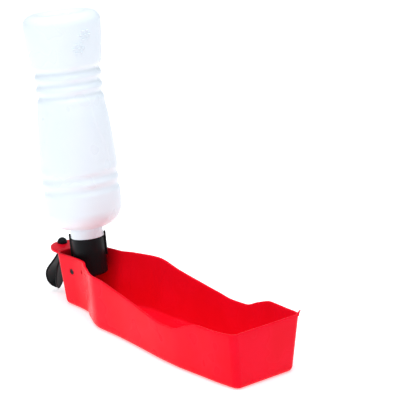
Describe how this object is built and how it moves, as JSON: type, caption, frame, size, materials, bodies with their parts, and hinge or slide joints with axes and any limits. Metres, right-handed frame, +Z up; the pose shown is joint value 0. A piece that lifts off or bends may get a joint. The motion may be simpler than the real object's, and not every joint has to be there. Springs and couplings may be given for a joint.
{
  "type": "fold-out travel water bottle",
  "caption": "Portable pet water bottle: a squeeze bottle in a screw collar that pivots in the head of a long drinking trough and folds into it, with a belt clip.",
  "frame": {"origin": "middle of the trough's flat resting face, between the fold pins and the front wall", "axes": "+X along the trough towards its front wall, +Y to the side away from the slotted wall, +Z up"},
  "size_m": [0.2958, 0.084, 0.2637],
  "materials": {
    "trough_red": "glossy moulded red",
    "bottle_milky": "translucent milky white, soft gloss",
    "fittings_black": "satin black",
    "seal_grey": "matte"
  },
  "bodies": {
    "trough_body": {"trough": "trough_red", "seal_pad": "seal_grey"},
    "collar_body": {"collar": "fittings_black", "nozzle": "fittings_black", "pivot_pin_near": "fittings_black", "pivot_pin_far": "fittings_black"},
    "washer_body": {"neck_washer": "seal_grey"},
    "bottle_body": {"bottle": "bottle_milky"},
    "clip_body": {"clip_stud": "fittings_black", "clip_blade": "fittings_black"},
    "leaf_body": {"clip_leaf": "fittings_black"}
  },
  "joints": [
    {"name": "bottle_fold", "type": "hinge", "parent": "trough_body", "child": "collar_body", "pos_m": [-0.11589, 0, 0.03492], "axis": [0, 1, 0], "range_deg": [0, 93.9]},
    {"name": "bottle_turn", "type": "hinge", "parent": "collar_body", "child": "washer_body", "pos_m": [-0.11135, 0, 0.03568], "axis": [-0.1633, 0, 0.9866], "range_deg": [0, 60]},
    {"name": "bottle_lift", "type": "slide", "parent": "washer_body", "child": "bottle_body", "axis": [-0.1633, 0, 0.9866], "range_m": [0, 0.00067]},
    {"name": "clip_swivel", "type": "hinge", "parent": "trough_body", "child": "clip_body", "pos_m": [-0.15233, 0, 0.0453], "axis": [0, 0, 1], "range_deg": [-90, 90]},
    {"name": "leaf_flex", "type": "hinge", "parent": "clip_body", "child": "leaf_body", "pos_m": [-0.15438, -0.00055, 0.0413], "axis": [-0.2588, 0.9659, 0], "range_deg": [0, 15], "stiffness_Nm_per_rad": 0.1, "springref_deg": -5.73}
  ],
  "couplings": [
    {"joint": "bottle_lift", "follows": "bottle_turn", "m_per_rad": 0.00063662}
  ]
}
